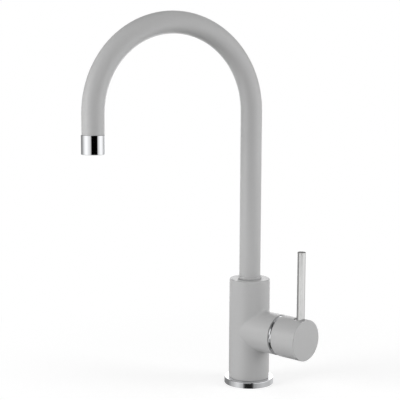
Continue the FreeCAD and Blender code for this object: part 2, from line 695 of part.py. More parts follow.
def dome_cover():
    """Polished band that shows between boss and cap, and the dome that the cap turns round."""
    outer_r = d.dome_dia / 2
    dome_start = d.boss_end + d.band_width / 2
    ball = solid("Sphere", "dome_outer", Radius=outer_r, at=(0, 0, d.pivot_x))
    hollow = solid("Sphere", "dome_inner", Radius=outer_r - d.dome_wall, at=(0, 0, d.pivot_x))
    slab = solid("Cylinder", "dome_slab", Radius=d.band_dia / 2, Height=d.dome_end - dome_start,
                 at=(0, 0, dome_start))
    zone = doc.addObject("Part::Common", "dome_zone")
    zone.Base, zone.Tool = cut("dome_shell", ball, hollow), slab
    skirt_r = d.nut_thread_dia / 2 - d.fit * 2
    bore_r = skirt_r - d.dome_wall
    skirt = solid("Cylinder", "dome_skirt", Radius=skirt_r, Height=d.dome_skirt + d.band_width,
                  at=(0, 0, d.boss_end - d.dome_skirt))
    band = solid("Cylinder", "dome_band", Radius=d.band_dia / 2, Height=d.band_width,
                 at=(0, 0, d.boss_end))
    bore = solid("Cylinder", "dome_bore", Radius=bore_r,
                 at=(0, 0, d.boss_end - d.dome_skirt - OVERSHOOT),
                 Height=d.dome_skirt + d.band_width + 2 * OVERSHOOT)
    seat = cut("dome_seat", joined("dome_seat_blank", [skirt, band]), bore)
    along_handle(keep("dome_cover", joined("dome_cover", [zone, seat])))


def on_spindle(along, across):
    """A corner given along and across the closed spindle, in the handle's upright frame."""
    tilt = d.spindle_rest_tilt
    return (along * sine(tilt) + across * cosine(tilt),
            d.pivot_x + along * cosine(tilt) - across * sine(tilt))


def block_end(across):
    """Where a line along the spindle meets the middle of the cap's end wall."""
    along = (d.cap_end - d.cap_face / 2 - d.pivot_x + across * sine(d.spindle_rest_tilt)) \
        / cosine(d.spindle_rest_tilt)
    return on_spindle(along, across)


def handle_cap():
    """Hollow cap with an inclined socket for the spindle and a seat for the lever pin."""
    piece = Body("handle_cap")
    face = d.cap_end - d.cap_face
    piece.turn([(0, face), (cap_in, face), (cap_in, d.cap_start), (cap_r, d.cap_start),
                (cap_r, d.cap_end), (0, d.cap_end)])
    piece.round_rim(d.cap_fillet, cap_r, d.cap_end)
    piece.round_rim(d.rim_fillet, cap_r, d.cap_start)
    down, up = -d.block_down, d.block_up
    block = [on_spindle(d.block_start, down), on_spindle(d.block_start, up), block_end(up),
             block_end(down)]
    piece.extrude(piece.polygon("XZ_Plane", block), d.block_width, both=True)
    half = d.block_width / 2
    low, high = d.block_up, cap_r - d.cap_wall / 2
    pillar = [(low, d.lever_x - half), (high, d.lever_x - half),
              (high, face + d.cap_face / 2), (low, face + d.cap_face / 2)]
    piece.extrude(piece.polygon("XZ_Plane", pillar), d.block_width, both=True)
    side = d.spindle_width / 2 + d.fit
    tip = d.spindle_length + d.fit
    mouth = d.block_start - d.socket_lead
    socket = [on_spindle(mouth, -side), on_spindle(mouth, side), on_spindle(tip, side),
              on_spindle(tip, -side)]
    piece.extrude(piece.polygon("XZ_Plane", socket), 2 * side, cut=True, both=True)
    # oblique relief of the rim opposite the lever
    slope = d.relief_depth / (cap_r - d.relief_start)
    edge_x = -cap_r - OVERSHOOT
    deep = d.cap_start + slope * (-edge_x - d.relief_start)
    relief = [(-d.relief_start, d.cap_start), (edge_x, deep), (edge_x, d.cap_start - OVERSHOOT),
              (-d.relief_start, d.cap_start - OVERSHOOT)]
    piece.extrude(piece.polygon("XZ_Plane", relief), d.cap_dia + OVERSHOOT, cut=True, both=True)
    # flat seat and thread for the lever pin, from the top
    for dia, top, depth in ((d.lever_seat_dia, cap_r, d.lever_seat_depth),
                            (d.lever_thread_dia, lever_foot, d.lever_thread + d.face_gap)):
        mark = piece.circles("YZ_Plane", [(0, d.lever_x, dia)], lift=top)
        piece.extrude(mark, depth, cut=True)
    # tapped hole for the clamping screw and the wider hole for its key, square to the spindle
    for dia, start in ((d.screw_dia, 0), (d.plug_dia + 2 * d.fit, -d.block_down)):
        hole = piece.circles("YZ_Plane", [(0, d.clamp_along, dia)])
        x, z = on_spindle(0, start) if isinstance(start, Size) else (0, d.pivot_x)
        hole.AttachmentOffset = Placement(Vector(0, number(z), number(x)),
                                          Rotation(Vector(1, 0, 0), d.spindle_rest_tilt.number))
        bind_offset(hole, y=z, z=x, angle=d.spindle_rest_tilt)
        piece.extrude(hole, d.cap_dia, cut=True)
    along_handle(piece)


def bind_offset(sketch, y, z, angle):
    """Ties a tilted sketch's offset to the sheet."""
    for name, value in (("Base.y", y), ("Base.z", z), ("Rotation.Angle", angle)):
        if isinstance(value, Size):
            sketch.setExpression(f"AttachmentOffset.{name}", value.text)


def lever_pin():
    """Straight round pin with a threaded spigot in the cap."""
    piece = Body("lever_pin")
    tall = d.lever_height + d.lever_seat_depth
    spigot_r = d.lever_thread_dia / 2 - d.thread_fit
    piece.turn([(0, -d.lever_thread), (spigot_r, -d.lever_thread), (spigot_r, 0),
                (d.lever_dia / 2, 0), (d.lever_dia / 2, tall), (0, tall)])
    piece.round_rim(d.lever_fillet, d.lever_dia / 2, tall)
    piece.place((d.lever_x, 0, d.handle_height + lever_foot))


def handle_screw():
    """Screw that clamps the cap to the spindle from below, and the plug that hides it."""
    tilt = d.spindle_rest_tilt
    down = Rotation(Vector(0, 1, 0), 180 - tilt.number)

    def below(distance):
        return (d.pivot_x + d.clamp_along * cosine(tilt) + distance * sine(tilt), 0,
                d.handle_height + d.clamp_along * sine(tilt) - distance * cosine(tilt))

    start = d.spindle_width / 2 + d.fit
    hex_screw("handle_grub_screw", d.screw_dia, d.clamp_length, d.dog_dia, d.clamp_tip,
              below(start), down)
    plug_start = (cap_in + d.clamp_along * sine(tilt)) / cosine(tilt) - d.plug_sink
    plug = solid("Cylinder", "screw_plug", Radius=d.plug_dia / 2, Height=d.plug_thick,
                 at=below(plug_start), turn=down)
    keep("screw_plug", plug)
    for label in ("handle_grub_screw", "screw_plug"):
        pieces[label].setExpression("Placement.Rotation.Angle", f"180 - {tilt.text}")


# Fixing kit

def horseshoe(label, top, thick):
    """Round plate with a slot for the hoses and a hole for the stud."""
    piece = Body(label)
    piece.extrude(piece.circles("XY_Plane", [(0, 0, d.washer_dia)], lift=top - thick), thick)
    slot = [(d.slot_edge, -d.slot_half), (d.washer_dia, -d.slot_half), (d.washer_dia, d.slot_half),
            (d.slot_edge, d.slot_half)]
    piece.extrude(piece.polygon("XY_Plane", slot, lift=top), thick, cut=True)
    hole = [(d.stud_x, 0, d.stud_dia + 2 * d.fit)]
    piece.extrude(piece.circles("XY_Plane", hole, lift=top), thick, cut=True)
    piece.place()


def fixing_kit():
    horseshoe("rubber_gasket", -d.worktop, d.rubber_thick)
    horseshoe("clamping_plate", -d.worktop - d.rubber_thick, d.plate_thick)
    stud = Body("fixing_stud")
    stud_r = d.stud_dia / 2 - d.thread_fit
    stud_top = d.spigot_bottom + d.stud_in
    stud.turn([(0, -d.stud_tail), (stud_r, -d.stud_tail), (stud_r, stud_top), (0, stud_top)])
    for height in (-d.stud_tail, stud_top):
        stud.round_rim(d.foot_chamfer, stud_r, height, "PartDesign::Chamfer")
    stud.place((d.stud_x, 0, 0))
    bottom = -d.worktop - d.rubber_thick - d.plate_thick - d.nut_length
    block = solid("Prism", "fixing_nut_block", Polygon=6, Height=d.nut_length,
                  Circumradius=corner_radius(d.nut_across))
    bore = solid("Cylinder", "fixing_nut_bore", Radius=d.stud_dia / 2, Height=d.nut_length)
    put(keep("fixing_nut", cut("fixing_nut", block, bore)), (d.stud_x, 0, bottom))


mixer_body()
base_ring()
seals_and_rings()
hex_screw("spout_grub_screw", d.screw_dia, d.screw_length, d.dog_dia, d.dog_length,
          (0, foot_r - d.screw_groove_depth + d.face_gap, screw_height),
          Rotation(Vector(1, 0, 0), -90))
spout_tube()
spout_socket()
socket_o_rings()
outlet_pieces()
cartridge_fixed()
cartridge_slide()
cartridge_rotor()
spindle()
dome_cover()
handle_cap()
lever_pin()
handle_screw()
fixing_kit()
doc.recompute()

# Checks before anything is written

for thing in doc.Objects:
    if {"Invalid", "Error"} & set(thing.State):
        raise RuntimeError(f"{thing.Name} failed: {thing.State}")
for label, thing in pieces.items():
    if thing.Shape.isNull() or not thing.Shape.isValid() or not thing.Shape.Solids:
        raise RuntimeError(f"{label} has no valid solid")
for label, thing in pieces.items():
    thing.Shape.exportStep(f"parts/{label}.step")
    print(label, len(thing.Shape.Solids), "solid", round(thing.Shape.Volume), "mm3")
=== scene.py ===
# %% [markdown]
# # A mixer tap in grey lacquer and chrome
#
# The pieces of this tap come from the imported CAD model, already at their real size and place. This
# script gives each one the surface that it has in the workshop, models three pieces again where a
# thread, chamfers or a comb of cells is worth having as real geometry, and lights the tap like a
# product photograph. Every length here is in metres, so a millimetre is a thousandth of a Blender
# unit.

# %% Loading the frame
import bpy
import json
import math
from mathutils import Euler, Matrix, Vector

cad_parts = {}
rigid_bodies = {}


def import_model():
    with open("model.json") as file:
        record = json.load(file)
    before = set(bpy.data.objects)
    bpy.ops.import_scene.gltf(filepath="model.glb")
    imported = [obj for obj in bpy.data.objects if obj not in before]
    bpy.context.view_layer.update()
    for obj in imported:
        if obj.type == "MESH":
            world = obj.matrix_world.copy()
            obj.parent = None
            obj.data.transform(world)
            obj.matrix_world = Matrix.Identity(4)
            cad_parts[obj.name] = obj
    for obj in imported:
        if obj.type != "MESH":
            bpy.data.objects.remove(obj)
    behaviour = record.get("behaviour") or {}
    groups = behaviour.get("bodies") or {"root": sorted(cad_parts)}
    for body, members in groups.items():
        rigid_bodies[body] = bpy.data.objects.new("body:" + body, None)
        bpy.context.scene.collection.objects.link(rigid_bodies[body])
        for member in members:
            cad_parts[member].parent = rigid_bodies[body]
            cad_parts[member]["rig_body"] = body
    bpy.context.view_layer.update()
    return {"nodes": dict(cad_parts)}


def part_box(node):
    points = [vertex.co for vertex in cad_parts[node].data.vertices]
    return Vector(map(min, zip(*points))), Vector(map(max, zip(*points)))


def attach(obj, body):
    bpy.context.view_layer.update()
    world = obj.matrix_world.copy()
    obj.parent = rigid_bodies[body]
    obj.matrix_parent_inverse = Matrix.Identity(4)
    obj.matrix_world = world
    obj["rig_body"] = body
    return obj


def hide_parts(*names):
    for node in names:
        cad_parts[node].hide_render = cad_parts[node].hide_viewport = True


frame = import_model()
nodes = frame["nodes"]

# %% [markdown]
# ## Measures
#
# A few sizes are read from the frame instead of being typed again, so that the finishes follow the
# pieces: the handle's axis is the middle of the cartridge nut, the outlet's is the middle of its
# sleeve, and the riser's axis is the Z axis.

# %% Measures
MM = 0.001


def middle(node):
    """The centre of a CAD piece's box."""
    low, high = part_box(node)
    return (low + high) / 2


handle_axis = middle("cartridge_nut")
outlet_axis = middle("aerator_housing")
print("handle's axis at height", round(handle_axis.z, 4))
print("outlet at", [round(v, 4) for v in outlet_axis])

# %% [markdown]
# ## The camera
#
# The photograph was taken from about halfway between the tap's front and its handle's side, 1.1 m
# away and 34.5 cm above the worktop, looking down by almost 7 degrees. A 90 mm lens gives the same
# flat perspective. The roll of a fifth of a degree is the small tilt of the riser in the
# photograph.

# %% The camera
EYE = Vector((0.7337, -0.8454, 0.3450))
HEADING, DOWNWARD, ROLL = math.radians(43.868), math.radians(6.884), math.radians(0.217)
FOCAL_LENGTH, SENSOR_WIDTH = 90, 36

lens = bpy.data.cameras.new("camera")
lens.lens, lens.sensor_width = FOCAL_LENGTH, SENSOR_WIDTH
camera = bpy.data.objects.new("camera", lens)
camera.rotation_mode = "QUATERNION"
aim = Euler((math.pi / 2 - DOWNWARD, 0, HEADING)).to_matrix() @ Matrix.Rotation(ROLL, 3, "Z")
camera.rotation_quaternion = aim.to_quaternion()
camera.location = EYE
bpy.context.scene.collection.objects.link(camera)
bpy.context.scene.camera = camera
bpy.context.scene.view_settings.view_transform = "Standard"
print("camera", round(EYE.xy.length, 3), "m from the riser")

# %% [markdown]
# ## Nodes and colours
#
# One function adds a node: its own options go in as keywords, and each input takes a value or the
# output of another node. Colours are written as sRGB hex values, the way a colour picker shows
# them, and turned to the linear values that the shader works with. `every` turns a real pattern
# size in millimetres into a texture scale. The short functions after `add` are what nearly every
# finish needs: noise, a range, a blend of two colours, a relief, and the larger of two values. A
# Mix node holds its share in input 0 and its two colours in inputs 6 and 7, and gives the colour as
# output 2.

# %% Nodes and colours
def linear(code):
    """The linear colour of an sRGB hex value."""
    shares = [int(code[i:i + 2], 16) / 255 for i in (1, 3, 5)]
    return [s / 12.92 if s <= 0.04045 else ((s + 0.055) / 1.055) ** 2.4 for s in shares] + [1]


def every(size_mm):
    """The texture scale that repeats once in this many millimetres."""
    return 1 / (size_mm * MM)


def add(tree, kind, inputs=None, **options):
    """Adds a node, sets its options, and sets or links its inputs."""
    made = tree.nodes.new("ShaderNode" + kind)
    for name, value in options.items():
        setattr(made, name, value)
    for socket, value in (inputs or {}).items():
        if isinstance(value, bpy.types.NodeSocket):
            tree.links.new(value, made.inputs[socket])
        else:
            made.inputs[socket].default_value = value
    return made


def noise(tree, place, size_mm, detail=2, roughness=0.5):
    """Soft noise between 0 and 1, with patches of this size in millimetres."""
    return add(tree, "TexNoise", {"Vector": place, "Scale": every(size_mm), "Detail": detail,
                                  "Roughness": roughness}).outputs[0]


def spread(tree, value, low, high, start=0.0, end=1.0):
    """Spreads the values from start to end over the range from low to high."""
    return add(tree, "MapRange", {"Value": value, "From Min": start, "From Max": end,
                                  "To Min": low, "To Max": high}).outputs[0]


def blend(tree, share, first, second):
    """The colour this share of the way from the first linear colour to the second."""
    return add(tree, "Mix", {0: share, 6: first, 7: second}, data_type="RGBA").outputs[2]


def relief(tree, height, strength, depth_mm=0.02):
    """A bump of this depth in millimetres, from a height between 0 and 1."""
    return add(tree, "Bump", {"Strength": strength, "Distance": depth_mm * MM,
                              "Height": height}).outputs[0]


def either(tree, first, second):
    """The larger of two values: 1 where at least one of them is 1."""
    return add(tree, "Math", {0: first, 1: second}, operation="MAXIMUM").outputs[0]


def start_material(name):
    """An empty material, its node tree and the place of each point on the piece."""
    made = bpy.data.materials.new(name)
    made.use_nodes = True
    tree = made.node_tree
    tree.nodes.clear()
    return made, tree, add(tree, "TexCoord").outputs["Object"]


def end_material(tree, shader):
    """Shows the shader on the material's surface."""
    add(tree, "OutputMaterial", {"Surface": shader.outputs[0]})


print("mid grey #808080 is", round(linear("#808080")[0], 3), "in linear light")

# %% [markdown]
# ## The studio
#
# Chrome shows nothing but its surroundings, so the surroundings are built first. The photograph's
# chrome mirrors a light tent: a round white wall about half a metre from the tap. The wall is
# bright left and right of the lens, where the soft lamps stand behind it, falls off to grey further
# round, and is brightest at the back. Its levels change with height, so there are three rows of
# them, each a list of angles from the lens and levels. The sleeve mirrors the upper row and the
# base ring the lower, dimmer one: both have a dark slot in front, where the lens looks through. The
# pin and the seam's band mirror the waist, whose front is lit. Towards the ceiling and the ground
# the cloth turns dark, and the two ends are closed with the same dark cloth. Only mirrored rays
# meet the tent here, so it never hides the tap from a camera.

# %% The light tent
FACING = math.atan2(EYE.y, EYE.x)
TENT_RADIUS, TENT_TOP, TENT_FOOT = 0.48, 0.9, -0.5
TENT_LEVEL = 1.12
UPPER_ROW = [
    (-180, 2.0), (-165, 1.5), (-150, 0.7), (-122, 0.26), (-108, 0.22), (-92, 0.31), (-82, 0.51),
    (-73, 0.76), (-64, 0.97), (-56, 1.0), (-40, 0.72), (-30, 0.5), (-25, 0.0), (22, 0.0),
    (28, 0.44), (41, 0.76), (55, 0.9), (71, 1.0), (88, 0.85), (108, 0.6), (135, 0.42), (160, 1.2),
    (180, 2.0)]
WAIST_ROW = [
    (-180, 2.0), (-165, 1.5), (-150, 0.5), (-120, 0.18), (-75, 0.18), (-52, 0.7), (-35, 1.1),
    (20, 1.1), (41, 0.8), (55, 0.85), (71, 0.9), (88, 0.85), (108, 0.6), (135, 0.42), (160, 1.2),
    (180, 2.0)]
LOWER_ROW = [
    (-180, 0.5), (-165, 0.22), (-110, 0.2), (-96, 0.3), (-84, 0.44), (-52, 0.65), (-30, 0.46),
    (-20, 0.08), (-14, 0.014), (12, 0.014), (18, 0.06), (25, 0.28), (47, 0.4), (68, 0.48),
    (108, 0.45), (131, 0.55), (165, 0.6), (180, 0.5)]
WAIST_RISE, UPPER_RISE = (-0.07, -0.02), (0.06, 0.14)
CLOTH_BY_HEIGHT = [(TENT_FOOT, 0.15), (-0.28, 0.15), (-0.2, 1.0), (0.32, 1.0), (0.42, 0.25),
                   (TENT_TOP, 0.25)]


def levels(tree, value, stops):
    """A grey level that follows a value through the stops, given as value and level."""
    low, high = stops[0][0], stops[-1][0]
    ramp = add(tree, "ValToRGB", {0: spread(tree, value, 0.0, 1.0, low, high)})
    ramp.color_ramp.interpolation = "EASE"
    bands = ramp.color_ramp.elements
    while len(bands) < len(stops):
        bands.new(0.5)
    for band, (where, level) in zip(bands, stops):
        band.position = (where - low) / (high - low)
        band.color = (level, level, level, 1)
    return ramp.outputs["Color"]


bpy.ops.object.select_all(action="DESELECT")
bpy.ops.mesh.primitive_cylinder_add(vertices=96, radius=TENT_RADIUS, depth=TENT_TOP - TENT_FOOT,
                                    end_fill_type="NGON",
                                    location=(0, 0, (TENT_TOP + TENT_FOOT) / 2))
tent = bpy.context.object
tent.name = "light_tent"
bpy.ops.object.transform_apply(location=True, rotation=True, scale=True)
tent.visible_camera = tent.visible_diffuse = False
tent.visible_shadow = tent.visible_transmission = False

tent_cloth, tree, place = start_material("tent cloth")
along = add(tree, "Mapping", {0: place, "Rotation": (0, 0, -FACING)}, vector_type="POINT")
at = add(tree, "SeparateXYZ", {0: along.outputs[0]}).outputs
angle = add(tree, "Math", {0: at["Y"], 1: at["X"]}, operation="ARCTAN2")
degrees = add(tree, "Math", {0: angle.outputs[0]}, operation="DEGREES").outputs[0]
wall = levels(tree, degrees, LOWER_ROW)
for row, rise in ((WAIST_ROW, WAIST_RISE), (UPPER_ROW, UPPER_RISE)):
    share = spread(tree, at["Z"], 0.0, 1.0, *rise)
    wall = blend(tree, share, wall, levels(tree, degrees, row))
strength = add(tree, "Math", {0: levels(tree, at["Z"], CLOTH_BY_HEIGHT), 1: TENT_LEVEL},
               operation="MULTIPLY")
end_material(tree, add(tree, "Emission", {"Color": wall, "Strength": strength.outputs[0]}))
tent.data.materials.append(tent_cloth)

print("tent wall", TENT_RADIUS, "m from the riser")

# %% [markdown]
# ## The floor and the backdrop
#
# The tap stands on a pale sheet with the usual 35 mm hole for its stud and hoses. The camera sees
# the sheet almost white, with the tap's soft shadow on it, and further out it fades into the white
# backdrop. The backdrop is the world: pure white to the lens and in mirrored rays. As light on the
# tap it is dimmer, most of all overhead, so that the top of the arch isn't washed out and a colour
# renders about as it is written.

# %% The floor and the backdrop
HOLE, SHEET_EDGE, SHEET_SINK = 35 * MM, 3.0, 0.1 * MM
FADE_START, FADE_END = 0.1, 0.45
BOARD, BOARD_GLOW, BOARD_AS_LIGHT = "#B6B6B6", 0.66, "#E2E2E2"
AMBIENT, ZENITH = 0.58, 0.26

bpy.ops.object.select_all(action="DESELECT")
bpy.ops.mesh.primitive_circle_add(vertices=128, radius=HOLE / 2, location=(0, 0, -SHEET_SINK))
floor = bpy.context.object
floor.name = "floor"
bpy.ops.object.mode_set(mode="EDIT")
bpy.ops.mesh.select_all(action="SELECT")
bpy.ops.mesh.extrude_edges_move()
bpy.ops.transform.resize(value=(SHEET_EDGE * 2 / HOLE, SHEET_EDGE * 2 / HOLE, 1))
bpy.ops.mesh.select_all(action="SELECT")
bpy.ops.mesh.normals_make_consistent(inside=False)
bpy.ops.object.mode_set(mode="OBJECT")
floor.visible_glossy = False


def seen(tree):
    """1 for rays of the lens and for mirrored or refracted rays, and 0 for light on the tap."""
    path = add(tree, "LightPath").outputs
    direct = either(tree, path["Is Camera Ray"], path["Is Glossy Ray"])
    return either(tree, direct, path["Is Transmission Ray"])


sheet, tree, place = start_material("white board")
distance = add(tree, "VectorMath", {0: place}, operation="LENGTH")
far = add(tree, "MapRange", {"Value": distance.outputs["Value"], "From Min": FADE_START,
                             "From Max": FADE_END}, interpolation_type="SMOOTHERSTEP")
board = add(tree, "BsdfDiffuse", {"Color": linear(BOARD)})
glow = add(tree, "Emission", {"Color": linear("#FFFFFF"), "Strength": BOARD_GLOW})
white = add(tree, "Emission", {"Color": linear("#FFFFFF"), "Strength": 1.0})
near = add(tree, "AddShader", {0: board.outputs[0], 1: glow.outputs[0]})
faded = add(tree, "MixShader", {0: far.outputs[0], 1: near.outputs[0], 2: white.outputs[0]})
plain = add(tree, "BsdfDiffuse", {"Color": linear(BOARD_AS_LIGHT)})
end_material(tree, add(tree, "MixShader", {0: seen(tree), 1: plain.outputs[0],
                                           2: faded.outputs[0]}))
floor.data.materials.append(sheet)

world = bpy.data.worlds.new("backdrop")
bpy.context.scene.world = world
world.use_nodes = True
world.node_tree.nodes.clear()
tree = world.node_tree
upward = add(tree, "SeparateXYZ", {0: add(tree, "TexCoord").outputs["Generated"]}).outputs["Z"]
strength = spread(tree, seen(tree), spread(tree, upward, AMBIENT, ZENITH), 1.0)
sky = add(tree, "Background", {"Color": linear("#FFFFFF"), "Strength": strength})
add(tree, "OutputWorld", {"Surface": sky.outputs[0]})
print("floor of", SHEET_EDGE, "m round a hole of", HOLE, "m")

# %% [markdown]
# ## The lamps
#
# Two large soft lamps stand left and right of the lens, where the tent's front half is brightest,
# and a weaker one hangs above. They are hidden from mirrored rays, because the tent's bright cloth
# already shows there. `lamp` takes the light that it should give on a white card at the tap: 1
# would make the card white, so what falls on any one side of the tap stays near 1. A flat lamp of P
# watts at a distance of d metres lights the card to P / (pi d) squared.

# %% The lamps
LAMPS_AIM = Vector((0, 0, 0.2))


def lamp(name, turn, distance, height, width, level):
    """A soft lamp at a direction in degrees from the lens, aimed at the tap's middle."""
    angle = FACING + math.radians(turn)
    spot = Vector((distance * math.cos(angle), distance * math.sin(angle), height))
    light = bpy.data.lights.new(name, "AREA")
    light.shape, light.size = "DISK", width
    light.energy = level * math.pi ** 2 * (spot - LAMPS_AIM).length ** 2
    made = bpy.data.objects.new(name, light)
    made.location = spot
    made.rotation_mode = "QUATERNION"
    made.rotation_quaternion = (LAMPS_AIM - spot).to_track_quat("-Z", "Y")
    made.visible_glossy = False
    bpy.context.scene.collection.objects.link(made)
    print(name, round(light.energy, 1), "W")


lamp("lamp_left", turn=-62, distance=2.6, height=0.75, width=1.5, level=0.68)
lamp("lamp_right", turn=80, distance=2.6, height=0.75, width=1.5, level=0.58)
lamp("lamp_above", turn=20, distance=0.5, height=1.6, width=0.9, level=0.08)

# %% [markdown]
# ## Grey lacquer
#
# Body, spout and handle cap are brass under a light grey powder coat, baked on at the works. To the
# eye it is an even grey with a soft sheen: the powder flows out to a very fine orange peel, and its
# pigment leaves a faint fleck. Real orange peel is about a millimetre from crest to crest and a
# hundredth of a millimetre high, so a bump map is enough. The coat's gloss is that of any clear
# resin, with an index of refraction a little over 1.5.

# %% Grey lacquer
LACQUER, LACQUER_FLECK = "#B2B2B2", "#A9A9AA"


def lacquer_shader(tree, place):
    """Grey powder coat: faint fleck, faint orange peel, satin gloss."""
    spots = spread(tree, noise(tree, place, 0.6, roughness=0.6), 0.0, 1.0, 0.5, 0.75)
    gloss = spread(tree, noise(tree, place, 35, detail=3), 0.3, 0.36)
    peel = noise(tree, place, 1.1, detail=1)
    return add(tree, "BsdfPrincipled", {
        "Base Color": blend(tree, spots, linear(LACQUER), linear(LACQUER_FLECK)),
        "Roughness": gloss, "IOR": 1.54, "Normal": relief(tree, peel, 0.25)})


lacquered, tree, place = start_material("grey powder coat")
end_material(tree, lacquer_shader(tree, place))
print("lacquer", LACQUER, "with fleck", LACQUER_FLECK)

# %% [markdown]
# ## Turned brass
#
# Where the coat was masked off, and on the pieces inside, the brass is bare and shows the lathe's
# work: fine rings round the axis that it was turned on, and a little tarnish. A tool feeds about a
# tenth of a millimetre each turn, which is too fine to show, so the rings are drawn 0.5 mm apart.
# `turned` measures along one axis and leaves the other two out, which makes the noise run in rings.

# %% Turned brass
BRASS, TARNISH = "#E0C27A", "#C19F58"


def turned(tree, place, axis, pitch_mm):
    """Noise that changes only along one axis, like the rings that a cutting tool leaves."""
    keep = [(1, 0, 0), (0, 1, 0), (0, 0, 1)]["XYZ".index(axis)]
    line = add(tree, "VectorMath", {0: place, 1: keep}, operation="MULTIPLY")
    return noise(tree, line.outputs[0], pitch_mm)


def brass_shader(tree, place, axis):
    """Forging brass: yellow, lightly tarnished, with tool rings."""
    tarnish = noise(tree, place, 9, detail=4)
    rings = turned(tree, place, axis, 0.5)
    return add(tree, "BsdfPrincipled", {
        "Base Color": blend(tree, tarnish, linear(BRASS), linear(TARNISH)), "Metallic": 1.0,
        "Roughness": spread(tree, tarnish, 0.2, 0.36), "Normal": relief(tree, rings, 0.4)})


brass_upright, tree, place = start_material("brass turned upright")
end_material(tree, brass_shader(tree, place, "Z"))
brass_crosswise, tree, place = start_material("brass turned on the handle's axis")
end_material(tree, brass_shader(tree, place, "X"))
print("bare brass on the spout's axis and on the handle's axis")

# %% [markdown]
# ## Where the coat ends
#
# The body, the cap and the spout's foot are coated outside and bare inside. The border is worked
# out from each point's place: how far it is from the riser's axis, how far from the handle's axis,
# or how high it is. `beyond` gives 1 past a limit and 0 before it, over a tenth of a millimetre,
# and a Mix Shader puts lacquer on one side and brass on the other. The limits follow what sits in
# the bores: the top ring and the cartridge nut. In the cap they follow its own wall and ends.

# %% Where the coat ends
BORDER = 0.1 * MM


def beyond(tree, value, limit):
    """1 where the value is over the limit, and 0 below it."""
    return spread(tree, value, 0.0, 1.0, limit - BORDER / 2, limit + BORDER / 2)


def before(tree, value, limit):
    """0 where the value is over the limit, and 1 below it."""
    return add(tree, "Math", {0: 1.0, 1: beyond(tree, value, limit)},
               operation="SUBTRACT").outputs[0]


def along_axis(tree, place, axis):
    """Each point's place along one axis."""
    return add(tree, "SeparateXYZ", {0: place}).outputs[axis]


def off_axis(tree, place, axis, centre):
    """Each point's distance from a line through the centre, along one axis."""
    keep = [0.0 if name == axis else 1.0 for name in "XYZ"]
    shifted = add(tree, "VectorMath", {0: place, 1: centre}, operation="SUBTRACT")
    flat = add(tree, "VectorMath", {0: shifted.outputs[0], 1: keep}, operation="MULTIPLY")
    return add(tree, "VectorMath", {0: flat.outputs[0]}, operation="LENGTH").outputs["Value"]


def partly_coated(name, axis, border):
    """A material that is lacquer where the border function gives 1, and brass elsewhere."""
    made, tree, place = start_material(name)
    end_material(tree, add(tree, "MixShader", {
        0: border(tree, place), 1: brass_shader(tree, place, axis).outputs[0],
        2: lacquer_shader(tree, place).outputs[0]}))
    return made


_, ring_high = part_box("top_ring")
_, nut_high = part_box("cartridge_nut")
cap_low, cap_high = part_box("handle_cap")
SEAT_EDGE = ring_high.x - 0.05 * MM
BORE_EDGE = nut_high.y + 0.4 * MM
FOOT_EDGE = ring_high.z + 0.1 * MM
CAP_SHELL, CAP_LIP, CAP_FACE = 1.9 * MM, 3 * MM, 0.8 * MM


def body_border(tree, place):
    """Coated outside the ring's seat, but not in the cartridge's bore."""
    outside = beyond(tree, off_axis(tree, place, "Z", (0, 0, 0)), SEAT_EDGE)
    wide = beyond(tree, off_axis(tree, place, "X", handle_axis), BORE_EDGE)
    behind = before(tree, along_axis(tree, place, "X"), 0.0)
    return add(tree, "Math", {0: outside, 1: either(tree, wide, behind)},
               operation="MULTIPLY").outputs[0]


def cap_border(tree, place):
    """Coated outside the cap's bore, on its end face, and round the bore's rim."""
    wide = beyond(tree, off_axis(tree, place, "X", handle_axis),
                  cap_high.z - handle_axis.z - CAP_SHELL)
    along = along_axis(tree, place, "X")
    face = beyond(tree, along, cap_high.x - CAP_FACE)
    rim = before(tree, along, cap_low.x + CAP_LIP)
    return either(tree, either(tree, wide, face), rim)


def foot_border(tree, place):
    """Coated from the collar's underside up."""
    return beyond(tree, along_axis(tree, place, "Z"), FOOT_EDGE)


coated_body = partly_coated("powder coated body, bored in bare brass", "X", body_border)
coated_cap = partly_coated("powder coated cap, bored in bare brass", "X", cap_border)
coated_foot = partly_coated("powder coated collar on a bare brass foot", "Z", foot_border)
print("body coated beyond a radius of", round(SEAT_EDGE / MM, 2), "mm")

# %% [markdown]
# ## Chrome plate
#
# The base ring, the outlet sleeve, and the band and dome in the handle's seam are polished brass
# under bright nickel and a skin of chromium. The plate is a mirror, so its roughness is close to
# nothing, and what shows is the tent. The only marks are a wiping film, in patches about a
# centimetre wide, that dulls the mirror here and there.

# %% Chrome plate
chrome, tree, place = start_material("chrome plated brass")
film = noise(tree, place, 12, detail=3)
end_material(tree, add(tree, "BsdfPrincipled", {
    "Base Color": linear("#F2F3F5"), "Metallic": 1.0,
    "Roughness": spread(tree, film, 0.02, 0.06)}))
print("chrome ready")

# %% [markdown]
# ## Satin steel
#
# The lever pin is stainless steel rod, blasted with fine glass beads. Each bead leaves a dimple
# smaller than a tenth of a millimetre, so the rod mirrors its surroundings softly: dark at its left
# edge, bright over its front. The dimples are drawn 0.4 mm wide, the smallest that shows. The sawn
# top end is rougher, and the darker colour there is painted shade that draws the dark rim at the
# top. The screws, the pivot pin and the aerator's screen are drawn steel with fine lines.

# %% Satin steel
# The pin's second, darker colour is painted shade on its top end; only that end's higher roughness
# is real.
BLASTED, SAWN_PAINTED_SHADE, DRAWN = "#E0E0DF", "#8E8E8C", "#D6D5D2"
SAWN_AND_SHADED_EDGE, SAWN_ROUGHNESS = 0.4 * MM, 0.6

